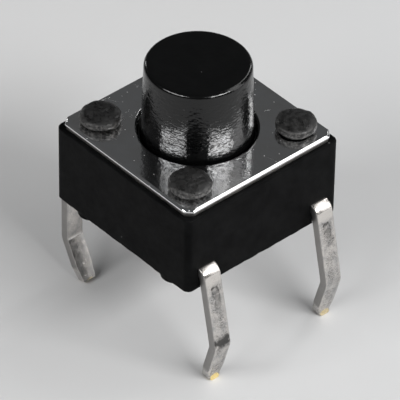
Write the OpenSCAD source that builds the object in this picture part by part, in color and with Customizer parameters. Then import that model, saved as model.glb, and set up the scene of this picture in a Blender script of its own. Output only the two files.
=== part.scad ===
// Through-hole tactile push button switch with four snap-in legs.
// The origin is the centre of the switch on the board's top face, where its feet stand.
// +Z points along the button, away from the board. The legs leave the base on its +X and -X faces.
// All sizes are in millimetres and degrees.

/* [Base] */
// Side of the square base moulding
base_w = 6; // [5.8:0.1:7]
// Height of the base's walls, from their lower edge to the cover plate
base_h = 2.75; // [2.5:0.05:3.5]
// Radius of the base's upright corners
base_corner_r = 0.2; // [0.15:0.05:0.3]
// Bevel along the base's upper and lower edges
base_bevel = 0.04; // [0.02:0.01:0.05]
// Least thickness of the walls round the cavity that holds the dome and the button's flange
wall_t = 0.8; // [0.7:0.05:0.9]
// Plastic left between the terminal strips and the cavity floor
floor_skin = 0.18; // [0.12:0.02:0.3]

/* [Feet] */
// Radius of each foot under the base
foot_r = 0.42; // [0.25:0.01:0.45]
// Height of the feet, which is the gap between the base and the board
foot_h = 0.2; // [0.1:0.05:0.4]
// Distance from a foot's axis to the base's +X or -X face
foot_inset = 1.1; // [0.9:0.05:1.5]
// Distance from a foot's rim to the base's face
foot_edge = 0.05; // [0.05:0.01:0.2]
// Radius of the two wells left by the mould's hold-down pins
well_r = 0.3; // [0.2:0.05:0.32]

/* [Cover plate] */
// Thickness of the cover plate
cover_t = 0.25; // [0.15:0.05:0.4]
// Distance from the cover plate's edge to the base's face
cover_inset = 0.1; // [0.05:0.01:0.15]
// Leg of the chamfer on the cover plate's corners
cover_chamfer = 0.22; // [0.1:0.02:0.3]
// Bevel that the punch leaves along the upper edges of the cover plate and its middle hole
cover_bevel = 0.08; // [0.04:0.01:0.1]

/* [Stakes] */
// Distance from a stake's axis to the base's faces
stake_inset = 0.95; // [0.85:0.01:1]
// Radius of a stake's post
post_r = 0.42; // [0.35:0.01:0.48]
// Clearance round a post in the cover plate
post_gap = 0.03; // [0.01:0.01:0.06]
// Radius of a stake's formed head
head_r = 0.63; // [0.58:0.01:0.68]
// Height of a stake's formed head
head_h = 0.4; // [0.3:0.01:0.5]
// Radius of the rounded upper rim of a head
head_rim_r = 0.12; // [0.06:0.01:0.15]
// Height of the crown inside a head's rim
head_crown = 0.04; // [0.02:0.01:0.1]

/* [Button] */
// Taper of the button's radius, from the cover plate to its rounded upper edge
stem_taper = 0.08; // [0:0.02:0.3]
// Height of the button above the cover plate
stem_rise = 2.4; // [1:0.05:8]
// Radius of the button's rounded upper edge
stem_edge_r = 0.14; // [0.05:0.01:0.2]
// Clearance round the button in the cover plate
stem_gap = 0.1; // [0.06:0.02:0.2]
// Overlap of the flange that holds the button under the cover plate
flange_lip = 0.35; // [0.2:0.01:0.4]
// Thickness of the flange
flange_t = 0.55; // [0.3:0.05:0.7]
// Running clearance of the flange in the cavity
flange_gap = 0.05; // [0.02:0.01:0.08]
// Play of the button between the cover plate and the dome
button_play = 0.02; // [0.01:0.01:0.04]
// Radius of the nub that pushes the dome
nub_r = 0.6; // [0.4:0.05:0.8]
// Travel of the button
travel = 0.25; // [0.15:0.05:0.4]

/* [Snap dome] */
// Thickness of the dome's sheet
dome_t = 0.08; // [0.05:0.01:0.1]
// Clearance round the dome's rim in the cavity
dome_gap = 0.12; // [0.08:0.01:0.2]

/* [Terminals] */
// Width of the strips and legs
leg_w = 0.64; // [0.5:0.02:0.8]
// Thickness of the strips and legs
strip_t = 0.3; // [0.2:0.05:0.4]
// Distance from a strip's middle to the base's face beside it, which sets the legs' pitch along Y
strip_inset = 0.75; // [0.6:0.05:0.85]
// Height of the strips' underside above the base's lower edge
strip_rise = 0.47; // [0.4:0.01:0.6]
// Distance from the start of a leg's upper bend to the base's face
bend_inset = 0.07; // [0.02:0.01:0.12]
// Inner radius of a leg's upper bend
bend_r = 0.08; // [0.05:0.01:0.2]
// Lean of a leg outwards, from its upper bend to its knee
leg_lean = 6; // [2:1:14]
// Lean of a leg inwards, from its knee to its tip
toe_in = 18; // [8:1:24]
// Lean of all four legs towards +X, left by a sideways push on the switch
leg_sway = 6; // [0:1:8]
// Inner radius of a leg's knee
knee_r = 0.25; // [0.1:0.05:0.5]
// Depth of a leg's knee below the board's top face
knee_drop = 1.72; // [1.4:0.02:2]
// Depth of a leg's tip below the board's top face
leg_drop = 3.25; // [2.8:0.05:4]
// Width of a leg's tip
tip_w = 0.42; // [0.3:0.02:0.5]
// Length of the taper towards a leg's tip
tip_l = 0.5; // [0.3:0.05:0.7]
// Clearance on each side of a leg in the notch of the base
notch_gap = 0.05; // [0.03:0.01:0.2]
// Depth of the notches in the base's faces
notch_depth = 0.25; // [0.15:0.05:0.35]
// Radius of the middle contact
contact_r = 0.6; // [0.4:0.05:0.8]
// Width of the tongue that carries the middle contact
tongue_w = 0.8; // [0.6:0.05:1]
// Half length of the rim terminal's raised bridge
bridge_half = 0.9; // [0.7:0.05:1.1]
// Reach of the rim terminal's pad from its strip towards the middle
pad_reach = 0.4; // [0.2:0.05:0.6]
// Length of the slope between a strip's two levels
joggle_l = 0.3; // [0.2:0.05:0.4]

/* [Hidden] */
$fn = 64;
// Flats along each bend of a leg
arc_steps = 12;
// Overlap of a cut past the face that it opens, and of a boss into what it grows from
cut = 0.1;

// Levels
strip_z = foot_h + strip_rise;
floor_z = strip_z + strip_t + floor_skin;
seat_z = foot_h + base_h;
cover_z = seat_z + cover_t;
button_z = cover_z + stem_rise;

// Base, cover plate and stakes
face = base_w / 2;
cavity_r = face - wall_t;
foot_pitch = base_w - 2 * foot_inset;
foot_span = base_w - 2 * (foot_edge + foot_r);
cover_w = base_w - 2 * cover_inset;
corner_span = (cover_w - cover_chamfer) * sqrt(2);
stake_pitch = base_w - 2 * stake_inset;
crown_r = head_r - head_rim_r;
crown_ball_r = (pow(crown_r, 2) + pow(head_crown, 2)) / (2 * head_crown);
head_side_h = head_h - head_crown - head_rim_r;
head_undercut = head_side_h / 3;

// Snap dome, whose apex clears the middle contact by the button's travel
rim_r = cavity_r - dome_gap;
dome_ball_r = (pow(rim_r, 2) + pow(travel, 2)) / (2 * travel);
dome_angle = asin(rim_r / dome_ball_r);
dome_ball_z = floor_z + travel - dome_ball_r;
dome_top_z = floor_z + travel + dome_t;

// Button
flange_r = cavity_r - flange_gap;
hole_r = flange_r - flange_lip;
stem_root_r = hole_r - stem_gap;
stem_top_r = stem_root_r - stem_taper;
flange_top_z = seat_z - button_play;
nub_z = dome_top_z + button_play;

// Terminals, with the centre of a leg's upper bend seen edge on
strip_y = face - strip_inset;
bend_x = face - bend_inset;
bend_mid = [bend_x, strip_z - bend_r];
leg_reach = 2 * (knee_mid(leg_lean + leg_sway).x + knee_r + strip_t) + cut;

// Square with round corners, centred on the origin
module rounded_square(side, r) {
    inner = side - 2 * r;
    square([inner, side], center = true);
    square([side, inner], center = true);
    for (sx = [-1, 1], sy = [-1, 1])
        translate([sx * inner / 2, sy * inner / 2]) circle(r);
}

// Long bar with bevelled upper edges, as wide as a plate between two opposite sides
module bevelled_bar(width) {
    half = width / 2;
    shoulder = cover_t - cover_bevel;
    rotate([90, 0, 0]) linear_extrude(2 * base_w, center = true) polygon([
        [-half, 0], [half, 0], [half, shoulder], [half - cover_bevel, cover_t],
        [cover_bevel - half, cover_t], [-half, shoulder]
    ]);
}

// Places its children at the four corners of a rectangle
module at_corners(pitch_x, pitch_y) {
    for (sx = [-1, 1], sy = [-1, 1])
        translate([sx * pitch_x / 2, sy * pitch_y / 2]) children();
}

// Part of the plane between two directions from the origin, less than a half turn apart
module wedge(from, to, reach) {
    mid = (from + to) / 2;
    polygon([[0, 0], for (a = [from, mid, to]) reach * [cos(a), sin(a)]]);
}

// Points of an arc about a centre
function arc(mid, r, from, to) =
    [for (i = [0:arc_steps]) let (a = from + (to - from) * i / arc_steps) mid + r * [cos(a), sin(a)]];

// Length of the straight between a leg's upper bend and its knee
function shin_l(lean) = (bend_mid.y + knee_drop + (bend_r - knee_r) * sin(lean)) / cos(lean);

// Centre of the knee of a leg seen edge on
function knee_mid(lean) =
    [bend_mid.x + (bend_r - knee_r) * cos(lean) + shin_l(lean) * sin(lean), -knee_drop];

// Points down one side of a +X leg seen edge on, at a depth under the strip's upper surface
function leg_side(depth, sway) =
    let (
        lean = leg_lean + sway,
        toe = toe_in - sway,
        knee = knee_mid(lean),
        upper_r = bend_r + strip_t - depth,
        lower_r = knee_r + strip_t - depth,
        toe_l = (leg_drop - knee_drop - lower_r * sin(toe)) / cos(toe),
        tip_x = knee.x + lower_r * cos(toe) - toe_l * sin(toe)
    )
    concat(arc(bend_mid, upper_r, 90, lean), arc(knee, lower_r, lean, -toe), [[tip_x, -leg_drop]]);

// Points of a path taken the other way
function turned(points) = [for (i = [len(points) - 1:-1:0]) points[i]];

// Points of a path mirrored to the -X side and taken the other way
function mirrored(points) = [for (p = turned(points)) [-p.x, p.y]];

// Points of a strip's step from a high level to a low one
function joggle(high_end, high, low) = [[high_end, high], [high_end + joggle_l, low]];

// Points along one surface of a strip's +X half and down its leg, raised over half of a middle length
function strip_side(depth, raised_half, sway) = concat(
    raised_half > 0 ? joggle(raised_half, floor_z - depth, strip_z + strip_t - depth) : [],
    leg_side(depth, sway)
);

// One leg seen from its face, with its tapered tip
module leg_front() {
    tip = tip_w / 2;
    side = leg_w / 2;
    polygon([
        [-tip, -leg_drop], [tip, -leg_drop], [side, tip_l - leg_drop], [side, floor_z],
        [-side, floor_z], [-side, tip_l - leg_drop]
    ]);
}

// Strip with its two legs, on its own middle plane, raised to the cavity floor over a middle length
module legged_strip(raised_half) {
    intersection() {
        rotate([90, 0, 0]) linear_extrude(leg_w, center = true) polygon(concat(
            mirrored(strip_side(0, raised_half, -leg_sway)),
            strip_side(0, raised_half, leg_sway),
            turned(strip_side(strip_t, raised_half, leg_sway)),
            mirrored(turned(strip_side(strip_t, raised_half, -leg_sway)))
        ));
        rotate([90, 0, 90]) linear_extrude(leg_reach, center = true) leg_front();
    }
}

// Stake: a post that grows out of the base through the cover plate, with its head formed over the plate
module stake() {
    translate([0, 0, seat_z - cut]) cylinder(h = cut + cover_t + head_side_h, r = post_r);
    translate([0, 0, cover_z]) rotate_extrude() {
        polygon([
            [0, 0], [head_r - head_undercut, 0], [head_r, head_undercut], [head_r, head_side_h], [0, head_side_h]
        ]);
        square([crown_r, head_side_h + head_rim_r]);
        intersection() {
            translate([crown_r, head_side_h]) circle(head_rim_r);
            translate([crown_r, head_side_h]) square(head_rim_r);
        }
        intersection() {
            translate([0, head_h - crown_ball_r]) circle(crown_ball_r);
            translate([0, head_side_h]) square([crown_r, head_h]);
        }
    }
}

// Layer of the base that widens over its height by the bevel
module bevel_layer() {
    inner = base_w - 2 * base_corner_r;
    for (turn = [0, 90])
        rotate([90, 0, turn]) linear_extrude(inner, center = true) polygon([
            [base_bevel - face, 0], [face - base_bevel, 0], [face, base_bevel], [-face, base_bevel]
        ]);
    at_corners(inner, inner)
        cylinder(h = base_bevel, r1 = base_corner_r - base_bevel, r2 = base_corner_r);
}

// Block of the base, with its bevelled upper and lower edges round a core of its full height
module base_block() {
    translate([0, 0, foot_h]) {
        linear_extrude(base_h) rounded_square(base_w - 2 * base_bevel, base_corner_r - base_bevel);
        translate([0, 0, base_bevel])
            linear_extrude(base_h - 2 * base_bevel) rounded_square(base_w, base_corner_r);
        bevel_layer();
    }
    translate([0, 0, seat_z]) mirror([0, 0, 1]) bevel_layer();
}

// Well left by a hold-down pin of the mould, cut up into the bed of a strip
module hold_down_well(y, top_z) {
    translate([0, y, foot_h - cut]) cylinder(h = top_z - foot_h + 2 * cut, r = well_r);
}

// Base moulding with its feet, cavity, stakes and the beds of the two terminals
module base() {
    color("#17181a") difference() {
        union() {
            base_block();
            at_corners(foot_pitch, foot_span) cylinder(h = foot_h + cut, r = foot_r);
            at_corners(stake_pitch, stake_pitch) stake();
        }
        translate([0, 0, floor_z]) cylinder(h = seat_z - floor_z + cut, r = cavity_r);
        hold_down_well(strip_y, strip_z);
        hold_down_well(-strip_y, floor_z - strip_t);
        at_corners(base_w, 2 * strip_y) translate([0, 0, (foot_h + strip_z - cut) / 2])
            cube([2 * notch_depth, leg_w + 2 * notch_gap, strip_rise + cut], center = true);
        middle_terminal();
        rim_terminal();
    }
}

// Stamped cover plate that holds the button in
module cover_plate() {
    color("#c9ccd0") translate([0, 0, seat_z]) difference() {
        intersection() {
            bevelled_bar(cover_w);
            rotate(90) bevelled_bar(cover_w);
            rotate(45) bevelled_bar(corner_span);
            rotate(-45) bevelled_bar(corner_span);
        }
        translate([0, 0, -cut]) cylinder(h = cover_t + 2 * cut, r = hole_r);
        translate([0, 0, cover_t - cover_bevel])
            cylinder(h = cover_bevel + cut, r1 = hole_r, r2 = hole_r + cover_bevel + cut);
        at_corners(stake_pitch, stake_pitch) translate([0, 0, -cut])
            cylinder(h = cover_t + 2 * cut, r = post_r + post_gap);
    }
}

// Button with its drafted stem, its flange and the nub that pushes the dome
module button() {
    color("#0e0f10") rotate_extrude() {
        edge_z = button_z - stem_edge_r;
        polygon([
            [0, flange_top_z], [stem_root_r, flange_top_z], [stem_root_r, cover_z],
            [stem_top_r, edge_z], [0, edge_z]
        ]);
        translate([0, edge_z]) square([stem_top_r - stem_edge_r, stem_edge_r]);
        intersection() {
            translate([stem_top_r - stem_edge_r, edge_z]) circle(stem_edge_r);
            translate([stem_top_r - stem_edge_r, edge_z]) square(stem_edge_r);
        }
        translate([0, flange_top_z - flange_t]) square([flange_r, flange_t]);
        translate([0, nub_z]) square([nub_r, flange_top_z - nub_z]);
    }
}

// Sprung contact dome, standing on the lower edge of its rim
module snap_dome() {
    color("#b9bcc0") translate([0, 0, dome_ball_z]) rotate_extrude() intersection() {
        difference() {
            circle(dome_ball_r + dome_t);
            circle(dome_ball_r);
        }
        wedge(90 - dome_angle, 90, 2 * dome_ball_r);
    }
}

// Terminal whose tongue carries the middle contact
module middle_terminal() {
    contact_z = floor_z - strip_t;
    color("#d5d3cc") {
        translate([0, strip_y, 0]) legged_strip(0);
        rotate([90, 0, 90]) linear_extrude(tongue_w, center = true) polygon(concat(
            [[0, floor_z]], joggle(contact_r, floor_z, strip_z + strip_t), [[strip_y, strip_z + strip_t]],
            [[strip_y, strip_z]], turned(joggle(contact_r, contact_z, strip_z)), [[0, contact_z]]
        ));
        translate([0, 0, contact_z]) cylinder(h = strip_t, r = contact_r);
    }
}

// Terminal whose raised bridge and pad carry the dome's rim
module rim_terminal() {
    color("#d5d3cc") translate([0, -strip_y, 0]) {
        legged_strip(bridge_half);
        translate([-bridge_half, 0, floor_z - strip_t])
            cube([2 * bridge_half, leg_w / 2 + pad_reach, strip_t]);
    }
}

base();
cover_plate();
button();
snap_dome();
middle_terminal();
rim_terminal();
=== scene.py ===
"""Dressed model of a through-hole tactile push button switch, built on the frame of its solids.

Shapes are worked out in millimetres and become metres when a piece is finished.
"""
import logging
import math
from collections.abc import Callable, Iterable, Sequence
from dataclasses import dataclass, field
from enum import Enum
from functools import reduce
from typing import Any

import bmesh
import bpy
from mathutils import Matrix, Vector, noise


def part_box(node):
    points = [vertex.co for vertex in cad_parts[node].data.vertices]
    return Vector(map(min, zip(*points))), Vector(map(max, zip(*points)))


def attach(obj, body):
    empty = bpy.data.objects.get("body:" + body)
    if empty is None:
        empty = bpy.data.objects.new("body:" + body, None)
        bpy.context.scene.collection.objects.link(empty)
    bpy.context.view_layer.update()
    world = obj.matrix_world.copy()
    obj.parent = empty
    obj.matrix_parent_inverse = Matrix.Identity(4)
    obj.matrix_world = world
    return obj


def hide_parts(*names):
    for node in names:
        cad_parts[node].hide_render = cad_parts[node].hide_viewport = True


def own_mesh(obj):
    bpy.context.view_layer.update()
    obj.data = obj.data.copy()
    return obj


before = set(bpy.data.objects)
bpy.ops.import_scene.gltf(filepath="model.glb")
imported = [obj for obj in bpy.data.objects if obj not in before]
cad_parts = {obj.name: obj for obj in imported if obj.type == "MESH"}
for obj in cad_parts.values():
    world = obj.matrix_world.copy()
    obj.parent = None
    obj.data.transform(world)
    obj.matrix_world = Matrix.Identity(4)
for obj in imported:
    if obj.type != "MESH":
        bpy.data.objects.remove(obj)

LOG = logging.getLogger("switch")
MM = 0.001
MERGE = 1e-5
TINY = 1e-9
CORNERS = [(-1, -1), (1, -1), (1, 1), (-1, 1)]

Flat = tuple[float, float]
Point = tuple[float, float, float]
Colour = tuple[float, float, float, float]
Look = dict[str, Any]
Ring = list[bmesh.types.BMVert]
Piece = bpy.types.Object
Material = bpy.types.Material
Socket = bpy.types.NodeSocket


class Body(Enum):
    """Moving bodies of the switch."""

    SWITCH = "switch_body"
    BUTTON = "button_body"


class Slot(Enum):
    """Material slots of the switch."""

    BASE = "base_plastic"
    BUTTON = "button_plastic"
    COVER = "cover_steel"
    DOME = "dome_steel"
    TERMINAL = "plated_brass"


class Operation(Enum):
    """Ways to combine two closed meshes."""

    ADD = "UNION"
    CUT = "DIFFERENCE"


class Room(Enum):
    """Where specks lie: in plan, as on a level sheet, or all through space."""

    PLAN = "2D"
    SPACE = "3D"


@dataclass(frozen=True)
class Extent:
    """Lowest and highest corner of a solid, in millimetres."""

    low: Vector
    high: Vector

    @classmethod
    def of(cls, node: str) -> "Extent":
        """Reads the extent of a solid from the frame."""
        low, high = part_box(node)
        return cls(Vector(low) / MM, Vector(high) / MM)


def extent_of(node: str) -> Any:
    """Field that reads the extent of a solid."""
    return field(default_factory=lambda: Extent.of(node))


# Outlines

def arc(mid: Flat, r: float, start: float, end: float, steps: int = 12) -> list[Flat]:
    """Points of an arc between two directions in degrees, both ends included."""
    turns = [math.radians(start + (end - start) * i / steps) for i in range(steps + 1)]
    return [(mid[0] + r * math.cos(a), mid[1] + r * math.sin(a)) for a in turns]


def filleted(corners: Sequence[Point], steps: int = 6) -> list[Flat]:
    """Path through corners, each rounded by its own fillet.

    Args:
        corners: Two coordinates and a fillet radius for each corner, with no fillet at the two ends.
        steps: Chords along each fillet.

    Returns:
        The points of the path.
    """
    points: list[Flat] = []
    for before, (across, along, r), after in zip(corners[:1] + corners, corners, corners[1:] + corners[-1:]):
        here = Vector((across, along))
        if not r:
            points.append((across, along))
            continue
        back = (Vector(before[:2]) - here).normalized()
        ahead = (Vector(after[:2]) - here).normalized()
        half = back.angle(ahead) / 2
        mid = here + (back + ahead).normalized() * r / math.sin(half)
        first = (here + back * r / math.tan(half) - mid).normalized()
        last = (here + ahead * r / math.tan(half) - mid).normalized()
        points += [tuple(mid + first.slerp(last, i / steps) * r) for i in range(steps + 1)]
    return points


def turned(point: Flat, quarters: int) -> Flat:
    """Point turned about the origin by a count of quarter turns."""
    for _ in range(quarters):
        point = (-point[1], point[0])
    return point


def four_sided(half: float, flat: float, corner: list[Flat], steps: int) -> list[Flat]:
    """Ring of four equal sides at a half width, each followed by the same corner, counterclockwise."""
    side = [(half, flat * (2 * i / steps - 1)) for i in range(steps)]
    return [turned(p, turn) for turn in range(4) for p in side + corner]


def square_ring(half: float, corner_r: float, steps: int = 40, corner_steps: int = 8) -> list[Flat]:
    """Square with round corners."""
    flat = half - corner_r
    return four_sided(half, flat, arc((flat, flat), corner_r, 0, 90, corner_steps)[:-1], steps)


def chamfered_ring(half: float, leg: float, steps: int = 48, corner_steps: int = 4) -> list[Flat]:
    """Square whose chamfers take the length of a leg from each side."""
    flat = half - leg
    cuts = [leg * i / corner_steps for i in range(corner_steps)]
    return four_sided(half, flat, [(half - cut, flat + cut) for cut in cuts], steps)


def circle(r: float, mid: Flat = (0, 0), steps: int = 96) -> list[Flat]:
    """Points of a full circle, counterclockwise."""
    return arc(mid, r, 0, 360, steps)[:-1]


def towards(bearing: float, height: float) -> Vector:
    """Direction of a bearing, counted from -Y towards +X, and a height, both in degrees."""
    turn, rise = math.radians(bearing), math.radians(height)
    return Vector((math.sin(turn) * math.cos(rise), -math.cos(turn) * math.cos(rise), math.sin(rise)))


# Meshes

class Skin:
    """Closed mesh under construction, in millimetres."""

    def __init__(self) -> None:
        """Starts with an empty mesh."""
        self.bm = bmesh.new()
        self.mark = self.bm.verts.layers.float.new("sheared")

    def loop(self, points: Iterable[Point], sheared: float = 0) -> Ring:
        """Adds a loop of points that belongs to a torn edge by a share from 0 to 1."""
        verts = [self.bm.verts.new(p) for p in points]
        for vert in verts:
            vert[self.mark] = sheared
        return verts

    def ring(self, points: Iterable[Flat], z: float, sheared: float = 0) -> Ring:
        """Adds a loop of points on one level."""
        return self.loop([(x, y, z) for x, y in points], sheared)

    def tube(self, rings: Sequence[Ring]) -> None:
        """Joins rings of equal count, each to the next, by quads."""
        for lower, upper in zip(rings, rings[1:]):
            for i in range(len(lower)):
                self.bm.faces.new((lower[i - 1], lower[i], upper[i], upper[i - 1]))

    def fan(self, ring: Ring, apex: Point) -> None:
        """Closes a ring with triangles round one point."""
        tip = self.loop([apex])[0]
        for i in range(len(ring)):
            self.bm.faces.new((ring[i - 1], ring[i], tip))

    def cap(self, ring: Ring) -> None:
        """Closes a ring with one flat face."""
        self.bm.faces.new(ring)

    def fill(self, rings: Sequence[Ring]) -> None:
        """Fills the flat region between an outer ring and the rings of its holes."""
        edges = [self.bm.edges.get((ring[i - 1], ring[i])) for ring in rings for i in range(len(ring))]
        bmesh.ops.triangle_fill(self.bm, use_beauty=True, use_dissolve=False, edges=edges, normal=(0, 0, 1))

    def lathe(self, outline: Sequence[Flat], steps: int = 160) -> None:
        """Turns an outline about Z into a closed shell.

        Args:
            outline: Radius and height of each point, from the axis back to the axis.
            steps: Steps round the axis.
        """
        rings = [self.ring(circle(r, steps=steps), z) for r, z in outline[1:-1]]
        self.tube(rings)
        self.fan(rings[0], (0, 0, outline[0][1]))
        self.fan(rings[-1], (0, 0, outline[-1][1]))

    def prism(self, plan: Sequence[Flat], low: float, high: float) -> None:
        """Adds an upright prism between two levels."""
        rings = [self.ring(plan, z) for z in (low, high)]
        self.tube(rings)
        for ring in rings:
            self.cap(ring)

    def box(self, low: Point, high: Point) -> None:
        """Adds a box between two corners."""
        plan = [(low[0], low[1]), (high[0], low[1]), (high[0], high[1]), (low[0], high[1])]
        self.prism(plan, low[2], high[2])

    def rod(self, mid: Flat, r: float, low: float, high: float, steps: int = 48) -> None:
        """Adds an upright cylinder."""
        self.prism(circle(r, mid, steps), low, high)

    def solid(self, name: str) -> Piece:
        """Ends the work and returns an object, still in millimetres, with its faces outwards."""
        bmesh.ops.recalc_face_normals(self.bm, faces=self.bm.faces)
        mesh = bpy.data.meshes.new(name)
        self.bm.to_mesh(mesh)
        self.bm.free()
        return linked(name, mesh)


def linked(name: str, data: bpy.types.ID) -> Piece:
    """New object for a mesh, a lamp or a camera, linked to the scene."""
    piece = bpy.data.objects.new(name, data)
    bpy.context.scene.collection.objects.link(piece)
    return piece


def settle(piece: Piece) -> None:
    """Turns what an object's modifiers make into its plain mesh."""
    graph = bpy.context.evaluated_depsgraph_get()
    mesh = bpy.data.meshes.new_from_object(piece.evaluated_get(graph))
    old = piece.data
    piece.modifiers.clear()
    piece.data = mesh
    bpy.data.meshes.remove(old)


def combine(piece: Piece, other: Piece, operation: Operation, keep: bool = False) -> None:
    """Adds another object to a piece, or cuts it out.

    Args:
        piece: Object that changes.
        other: Closed object to add or cut.
        operation: Which of the two.
        keep: Whether the other object is still needed.
    """
    modifier = piece.modifiers.new("combine", "BOOLEAN")
    modifier.operation = operation.value
    modifier.solver = "EXACT"
    modifier.object = other
    settle(piece)
    if not keep:
        bpy.data.objects.remove(other)


def finish(piece: Piece, material: Material, crease: float = 35) -> None:
    """Scales a piece to metres, turns its faces outwards, smooths it up to a crease and dresses it.

    Args:
        piece: Piece in millimetres.
        material: Its finish.
        crease: Angle in degrees past which an edge stays sharp.
    """
    mesh = piece.data
    work = bmesh.new()
    work.from_mesh(mesh)
    bmesh.ops.remove_doubles(work, verts=work.verts, dist=MERGE)
    bmesh.ops.recalc_face_normals(work, faces=work.faces)
    work.to_mesh(mesh)
    work.free()
    mesh.transform(Matrix.Scale(MM, 4))
    mesh.shade_smooth()
    mesh.set_sharp_from_angle(angle=math.radians(crease))
    mesh.materials.clear()
    mesh.materials.append(material)


def place(piece: Piece, material: Material, body: Body, node: str) -> None:
    """Finishes a piece, sets it on its body in place of a solid, and reports it.

    Args:
        piece: Piece in millimetres.
        material: Its finish.
        body: Body that it moves with.
        node: Solid that it stands for.
    """
    finish(piece, material)
    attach(piece, body.value)
    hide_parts(node)
    LOG.info("%s: %d faces, stands for %s on %s", piece.name, len(piece.data.polygons), node, body.value)


# Node trees

class Sketch:
    """Short calls that draw one node tree."""

    def __init__(self, tree: bpy.types.NodeTree) -> None:
        """Starts drawing in a tree."""
        self.tree = tree

    def add(self, kind: str, inputs: dict[str | int, Any] | None = None, **settings: Any) -> bpy.types.Node:
        """Adds a node.

        Args:
            kind: Type of the node.
            inputs: Sockets to link and values to set, by the input's name or index.
            settings: Properties of the node.

        Returns:
            The new node.
        """
        node = self.tree.nodes.new(kind)
        for name, value in settings.items():
            setattr(node, name, value)
        for key, value in (inputs or {}).items():
            self.feed(node.inputs[key], value)
        return node

    def feed(self, socket: Socket, value: Any) -> None:
        """Links an input to another socket, or sets its value."""
        if isinstance(value, Socket):
            self.tree.links.new(value, socket)
        else:
            socket.default_value = value

    def draw(self, kind: str, inputs: dict[str | int, Any] | None = None, **settings: Any) -> Socket:
        """Adds a node and returns its first output."""
        return self.add(kind, inputs, **settings).outputs[0]

    def math(self, operation: str, *values: Any) -> Socket:
        """Result of an operation on numbers."""
        return self.draw("ShaderNodeMath", dict(enumerate(values)), operation=operation)

    def times(self, *values: Any) -> Socket:
        """Product of numbers."""
        return reduce(lambda a, b: self.math("MULTIPLY", a, b), values)

    def plus(self, *values: Any) -> Socket:
        """Sum of numbers."""
        return reduce(lambda a, b: self.math("ADD", a, b), values)

    def most(self, *values: Any) -> Socket:
        """Largest of some numbers."""
        return reduce(lambda a, b: self.math("MAXIMUM", a, b), values)

    def minus(self, first: Any, second: Any) -> Socket:
        """Difference of two numbers."""
        return self.math("SUBTRACT", first, second)

    def apart(self, first: Any, second: Any) -> Socket:
        """Distance between two numbers."""
        return self.math("ABSOLUTE", self.minus(first, second))

    def squares(self, first: Any, second: Any) -> Socket:
        """Sum of two squares."""
        return self.plus(self.math("POWER", first, 2.0), self.math("POWER", second, 2.0))

    def split(self, vector: Socket) -> Sequence[Socket]:
        """Coordinates of a vector."""
        return self.add("ShaderNodeSeparateXYZ", {0: vector}).outputs

    def join(self, *values: Any) -> Socket:
        """Vector with given coordinates."""
        return self.draw("ShaderNodeCombineXYZ", dict(enumerate(values)))

    def spread(self, value: Socket, low: float, high: float, to_low: float = 0, to_high: float = 1) -> Socket:
        """Value taken from one range to another, and held inside it."""
        return self.draw("ShaderNodeMapRange", dict(enumerate((value, low, high, to_low, to_high))))


class Recipe(Sketch):
    """Geometry node tree with named inputs."""

    kinds = {"Seed": "NodeSocketInt", "Material": "NodeSocketMaterial"}
    wave_level: float

    def __init__(self, name: str, titles: Sequence[str]) -> None:
        """Starts a tree.

        Args:
            name: Name of the tree.
            titles: Its named inputs, which are numbers unless they have a kind of their own.
        """
        super().__init__(bpy.data.node_groups.new(name, "GeometryNodeTree"))
        face = self.tree.interface
        for way in ("OUTPUT", "INPUT"):
            face.new_socket("Geometry", in_out=way, socket_type="NodeSocketGeometry")
        self.keys = {}
        for title in titles:
            kind = self.kinds.get(title, "NodeSocketFloat")
            self.keys[title] = face.new_socket(title, in_out="INPUT", socket_type=kind).identifier
        self.given = self.add("NodeGroupInput").outputs

    def roughened(self, geometry: Socket, wave: Socket, **moved: Socket) -> Socket:
        """Geometry moved to a position, if one is given, and pushed along its normals by a wave."""
        push = self.times(self.minus(wave, self.wave_level), self.given["Roughness"])
        normal = self.draw("GeometryNodeInputNormal")
        offset = self.draw("ShaderNodeVectorMath", {0: normal, "Scale": push}, operation="SCALE")
        return self.draw("GeometryNodeSetPosition", {"Geometry": geometry, "Offset": offset, **moved})

    def end(self, geometry: Socket) -> None:
        """Makes the result real, gives it the input's material and ends the tree."""
        real = self.draw("GeometryNodeRealizeInstances", {0: geometry})
        dressed = self.draw("GeometryNodeSetMaterial", {"Geometry": real, "Material": self.given["Material"]})
        self.add("NodeGroupOutput", {0: dressed})

    def make(self, name: str, points: Sequence[Point], edges: Sequence[tuple[int, int]],
             values: dict[str, Any]) -> Piece:
        """Runs the tree on a new object and keeps the result as its plain mesh.

        Args:
            name: Name of the object.
            points: Points that go in.
            edges: Pairs of points that are joined.
            values: Value of each named input.

        Returns:
            The object, in millimetres.
        """
        mesh = bpy.data.meshes.new(name)
        mesh.from_pydata(points, edges, [])
        piece = linked(name, mesh)
        modifier = piece.modifiers.new(self.tree.name, "NODES")
        modifier.node_group = self.tree
        for title, value in values.items():
            modifier[self.keys[title]] = value
        settle(piece)
        return piece


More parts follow.
